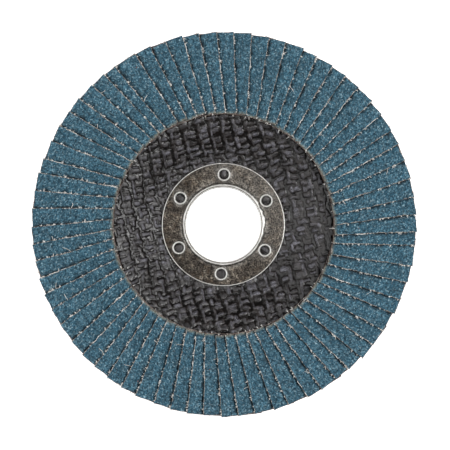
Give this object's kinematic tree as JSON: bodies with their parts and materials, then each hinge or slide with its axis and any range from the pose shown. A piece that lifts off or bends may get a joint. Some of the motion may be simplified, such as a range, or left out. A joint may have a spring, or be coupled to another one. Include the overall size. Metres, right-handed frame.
{
  "type": "abrasive flap disc",
  "caption": "Abrasive flap disc for an angle grinder, with overlapping zirconia cloth flaps on a glass-fibre plate with a recessed hub and a steel-lined bore.",
  "frame": {"origin": "centre of the bore on the rear clamping face, which the disc lies on", "axes": "+Z along the bore axis from the grinder's side to the working side, +X and +Y across the disc"},
  "size_m": [0.115, 0.115, 0.0142],
  "materials": {
    "bush_steel": "bright pressed steel, rolled over at the front",
    "ring_steel": "dull mottled zinc-plated steel",
    "glass_laminate": "black resin over open woven glass cloth",
    "adhesive": "cured epoxy",
    "abrasive_cloth": "blue zirconia grain on tan cloth"
  },
  "bodies": {
    "root": {"centre_bush": "bush_steel", "front_ring": "ring_steel", "rear_glass_ply": "glass_laminate", "core_glass_ply": "glass_laminate", "front_glass_ply": "glass_laminate", "adhesive_bed": "adhesive", "flap_trio_01": "abrasive_cloth", "flap_trio_02": "abrasive_cloth", "flap_trio_03": "abrasive_cloth", "flap_trio_04": "abrasive_cloth", "flap_trio_05": "abrasive_cloth", "flap_trio_06": "abrasive_cloth", "flap_trio_07": "abrasive_cloth", "flap_trio_08": "abrasive_cloth", "flap_trio_09": "abrasive_cloth", "flap_trio_10": "abrasive_cloth", "flap_trio_11": "abrasive_cloth", "flap_trio_12": "abrasive_cloth", "flap_trio_13": "abrasive_cloth", "flap_trio_14": "abrasive_cloth", "flap_trio_15": "abrasive_cloth", "flap_trio_16": "abrasive_cloth", "flap_trio_17": "abrasive_cloth", "flap_trio_18": "abrasive_cloth", "flap_trio_19": "abrasive_cloth", "flap_trio_20": "abrasive_cloth", "flap_trio_21": "abrasive_cloth", "flap_trio_22": "abrasive_cloth", "flap_trio_23": "abrasive_cloth"}
  },
  "joints": []
}
